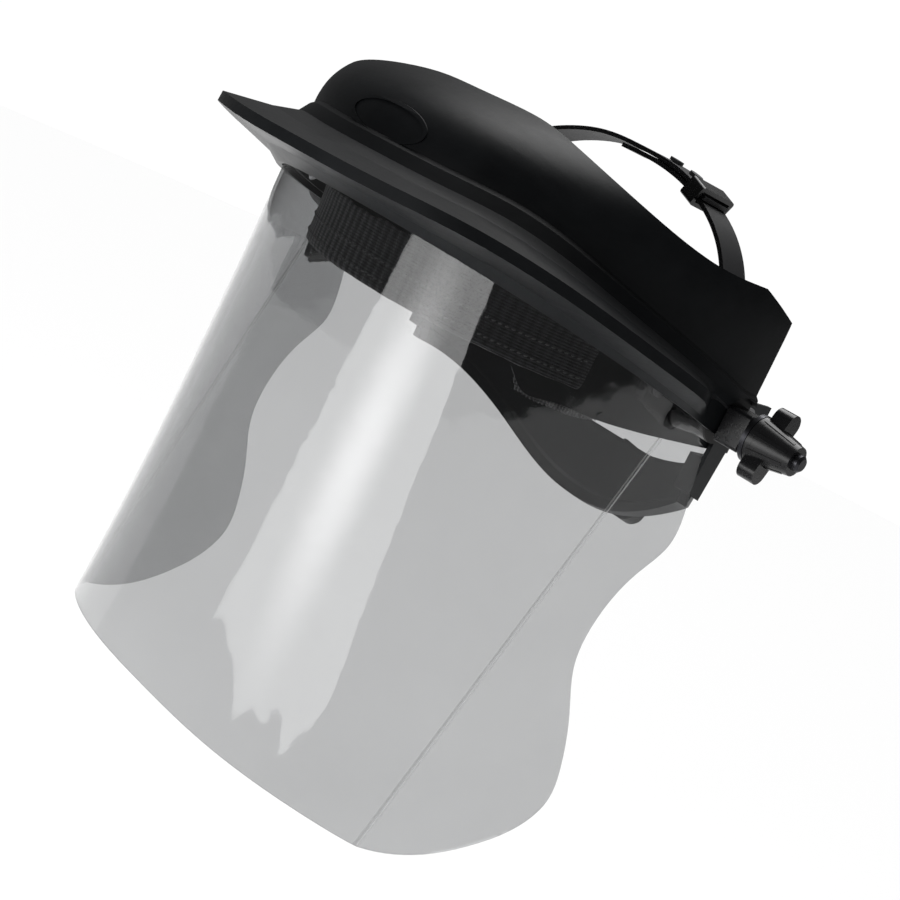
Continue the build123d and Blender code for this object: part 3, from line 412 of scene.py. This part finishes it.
def pad_section(angle):
    """Foam pad inside the headband, a little small so that it can swell."""
    corners = [(-2.9, -6.4), (-2.9, 14.6), (-4.2, 15.4), (-6.6, 14.8), (-7.8, 11.5),
               (-7.9, 3.2), (-7.8, -5.2), (-6.6, -8.6), (-4.4, -8.8)]
    pinch = 1 - 0.5 * max(abs(angle) - 56, 0) / 5
    return [(-2.9 + (r + 2.9) * pinch, z) for r, z in corners]


PAD_VOXEL, PAD_PRESSURE, PAD_CAP = 0.0028, 4.0, 0.0006
SWELL_FRAMES = 20
CHANNELS = (-45, -30, -15, 0, 15, 30, 45)
CHANNEL_WIDTH, CHANNEL_DEPTH = 1.1, 0.0008


def swell(obj, voxel, pressure, cap):
    """Remeshes a pad, blows it up as cloth for a few frames, and keeps each move short."""
    bpy.context.view_layer.objects.active = obj
    remesh = obj.modifiers.new("even", "REMESH")
    remesh.mode, remesh.voxel_size = "VOXEL", voxel
    bpy.ops.object.modifier_apply(modifier=remesh.name)
    start = [v.co.copy() for v in obj.data.vertices]
    cloth = obj.modifiers.new("cloth", "CLOTH")
    cloth.settings.quality = 6
    cloth.settings.mass = 0.2
    cloth.settings.use_pressure = True
    cloth.settings.uniform_pressure_force = pressure
    cloth.settings.effector_weights.gravity = 0
    cloth.point_cache.frame_start, cloth.point_cache.frame_end = 1, SWELL_FRAMES
    scene = bpy.context.scene
    for step in range(1, SWELL_FRAMES + 1):
        scene.frame_set(step)
    bpy.context.view_layer.update()
    bpy.ops.object.modifier_apply(modifier=cloth.name)
    for vertex, old in zip(obj.data.vertices, start):
        move = vertex.co - old
        if move.length > cap:
            vertex.co = old + move * (cap / move.length)
    scene.frame_set(1)
    for face in obj.data.polygons:
        face.use_smooth = True


pad = new_object("sweatband_pad", closed_sweep(spread(-60, 60, 61), pad_section), FINISH["pad"])
bpy.context.view_layer.update()
swell(pad, PAD_VOXEL, PAD_PRESSURE, PAD_CAP)
# sewn channels: the pad is drawn in along lines that cross it
for v in pad.data.vertices:
    turn_now = math.degrees(math.atan2(v.co.x, -v.co.y))
    channel = min(abs(turn_now - c) for c in CHANNELS)
    pull = math.exp(-(channel / CHANNEL_WIDTH) ** 2) * CHANNEL_DEPTH
    radial = Vector((v.co.x, v.co.y, 0))
    inner = radial.length < (band_point(turn_now, -5.0, 0).xy.length)
    if inner:
        v.co += radial.normalized() * pull
fine = pad.modifiers.new("fine", "SUBSURF")
fine.levels = fine.render_levels = 1
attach(pad, "headgear")
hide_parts("sweatband")

cover = new_object("sweatband_cover",
                   closed_sweep(spread(-COVER_END, COVER_END, 123), cover_section),
                   FINISH["fabric"])
soft = cover.modifiers.new("soft", "SUBSURF")
soft.levels = soft.render_levels = 1
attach(cover, "headgear")
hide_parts("sweatband")


def stitch_row(name, z, step, r):
    """A row of short slanted stitches lying on the cover."""
    build = bmesh.new()
    angle = -COVER_END + 2
    while angle < COVER_END - 2:
        start, end = band_point(angle, r, z - 0.15), band_point(angle + step * 0.62, r, z + 0.15)
        along = (end - start).normalized()
        side = Vector((0, 0, 1)).cross(along).normalized()
        high = along.cross(side)
        rings = []
        for share, size in ((0, 0.12), (0.2, 0.3), (0.5, 0.36), (0.8, 0.3), (1, 0.12)):
            middle = start.lerp(end, share)
            rings.append([build.verts.new(middle + (side * math.cos(k) + high * math.sin(k))
                                          * size * MM)
                          for k in (math.pi * i / 3 for i in range(6))])
        for one, two in zip(rings, rings[1:]):
            for i in range(6):
                build.faces.new((one[i], one[(i + 1) % 6], two[(i + 1) % 6], two[i]))
        build.faces.new(rings[0])
        build.faces.new(list(reversed(rings[-1])))
        angle += step
    piece = new_object(name, build, FINISH["thread"])
    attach(piece, "headgear")


stitch_row("cover_stitches_low", 0.6, 1.75, 1.95)
stitch_row("cover_stitches_edge", -5.4, 1.75, 1.85)


def fringe(name, first, last):
    """The frayed raw edge of the lining, which peeks out below the side of the headband."""
    def section(angle):
        y = band_point(angle, 0, 0).y / MM
        drop = min(max((y - DROP_START_Y) / (DROP_END_Y - DROP_START_Y), 0), 1)
        edge = LOW_FRONT + (LOW_SIDE - LOW_FRONT) * drop
        frayed = 0.25 * math.sin(angle * 5.3) + 0.2 * math.sin(angle * 13.7) + 0.3 * ripple(angle, 0.4)
        out_of_sight = 1 - min(abs(angle - first), abs(angle - last)) / 6
        hang = 1.7 + frayed - 1.6 * max(out_of_sight, 0)
        return [(-1.85, edge + 2.5), (-1.85, edge - hang), (-2.15, edge - hang - 0.15),
                (-2.5, edge - hang), (-2.5, edge + 2.5)]
    piece = new_object(name, closed_sweep(spread(first, last, 240), section), FINISH["raw"])
    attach(piece, "headgear")


FRINGE_START, FRINGE_END = 45.0, 71.0
fringe("lining_edge_left", FRINGE_START, FRINGE_END)
fringe("lining_edge_right", -FRINGE_END, -FRINGE_START)

# ------------------------------------------------------------------- floor and light
floor_mesh = bmesh.new()
bmesh.ops.create_circle(floor_mesh, cap_ends=True, segments=96, radius=FLOOR_RADIUS)
floor_data = bpy.data.meshes.new("floor")
floor_mesh.to_mesh(floor_data)
floor_mesh.free()
floor = bpy.data.objects.new("floor", floor_data)
bpy.context.collection.objects.link(floor)
floor.location.z = FLOOR_Z
pale, _, pale_shader, _ = new_material("pale_floor")
pale_shader.inputs["Base Color"].default_value = (0.9, 0.9, 0.9, 1)
pale_shader.inputs["Roughness"].default_value = 0.9
dress(floor, pale)

world = bpy.data.worlds.new("studio")
bpy.context.scene.world = world
world.use_nodes = True
world_tree = world.node_tree
room = world_tree.nodes["Background"]
room.inputs["Color"].default_value = (1, 1, 1, 1)
room.inputs["Strength"].default_value = ROOM_LIGHT
backdrop = world_tree.nodes.new("ShaderNodeBackground")
backdrop.inputs["Color"].default_value = (1, 1, 1, 1)
backdrop.inputs["Strength"].default_value = BACKDROP_LIGHT
path = world_tree.nodes.new("ShaderNodeLightPath")
either = world_tree.nodes.new("ShaderNodeMixShader")
world_tree.links.new(path.outputs["Is Camera Ray"], either.inputs["Fac"])
world_tree.links.new(room.outputs["Background"], either.inputs[1])
world_tree.links.new(backdrop.outputs["Background"], either.inputs[2])
world_tree.links.new(either.outputs["Shader"], world_tree.nodes["World Output"].inputs["Surface"])

sky = bpy.data.lights.new("overhead", "SUN")
sky.energy, sky.angle = SKY_LIGHT, SKY_SOFTNESS
sky_object = bpy.data.objects.new("overhead", sky)
bpy.context.collection.objects.link(sky_object)
sky_object.rotation_euler = SKY_TILT


CARD_CELLS = 24


def reflector(name, corners, strength, middle=None, ragged=0.0):
    """A glowing card that the glossy parts mirror, with an uneven lower edge.

    corners go round from its upper left; middle is the (place, strength, radius) of a brighter spot.
    """
    build = bmesh.new()
    grid = []
    for j in range(CARD_CELLS + 1):
        left = Vector(corners[0]).lerp(Vector(corners[3]), j / CARD_CELLS)
        right = Vector(corners[1]).lerp(Vector(corners[2]), j / CARD_CELLS)
        row = [left.lerp(right, i / CARD_CELLS) for i in range(CARD_CELLS + 1)]
        if j == CARD_CELLS:
            row = [p + Vector((0, 0, ragged * (math.sin(0.55 * i) + 0.5 * math.sin(1.3 * i))))
                   for i, p in enumerate(row)]
        grid.append([build.verts.new(p) for p in row])
    for low, high in zip(grid, grid[1:]):
        for i in range(CARD_CELLS):
            build.faces.new((low[i], low[i + 1], high[i + 1], high[i]))
    mesh = bpy.data.meshes.new(name)
    build.to_mesh(mesh)
    build.free()
    obj = bpy.data.objects.new(name, mesh)
    bpy.context.collection.objects.link(obj)
    mat = bpy.data.materials.new(name)
    mat.use_nodes = True
    tree = mat.node_tree
    tree.nodes.remove(tree.nodes["Principled BSDF"])
    glow = tree.nodes.new("ShaderNodeEmission")
    glow.inputs["Strength"].default_value = strength
    if middle is not None:
        place, peak, radius = middle
        point = tree.nodes.new("ShaderNodeTexCoord").outputs["Object"]
        gap = tree.nodes.new("ShaderNodeVectorMath")
        gap.operation = "DISTANCE"
        gap.inputs[1].default_value = place
        tree.links.new(point, gap.inputs[0])
        fade = tree.nodes.new("ShaderNodeMapRange")
        fade.interpolation_type = "SMOOTHSTEP"
        fade.inputs["From Max"].default_value = radius
        fade.inputs["To Min"].default_value = peak
        fade.inputs["To Max"].default_value = strength
        tree.links.new(gap.outputs["Value"], fade.inputs["Value"])
        tree.links.new(fade.outputs["Result"], glow.inputs["Strength"])
    tree.links.new(glow.outputs["Emission"], tree.nodes["Material Output"].inputs["Surface"])
    mesh.materials.append(mat)
    obj.visible_camera = False
    obj.visible_shadow = False


# the front card makes the bright strip down the visor, and the far card lights its far side
FRONT_CARD = ((-0.37, -0.75, 0.0), (0.17, -0.80, 0.02), (0.40, -0.68, -0.31), (-0.40, -0.66, -0.355))
FRONT_LIGHT, FRONT_RAGGED = 4.0, 0.009
FRONT_MIDDLE = ((-0.09, -0.75, -0.16), 10.0, 0.22)
FAR_CARD = ((-0.80, -0.45, -0.08), (-0.70, 0.58, -0.08), (-0.70, 0.58, -0.6), (-0.80, -0.45, -0.6))
FAR_LIGHT = 1.7
reflector("front_card", FRONT_CARD, FRONT_LIGHT, FRONT_MIDDLE, FRONT_RAGGED)
reflector("far_card", FAR_CARD, FAR_LIGHT)
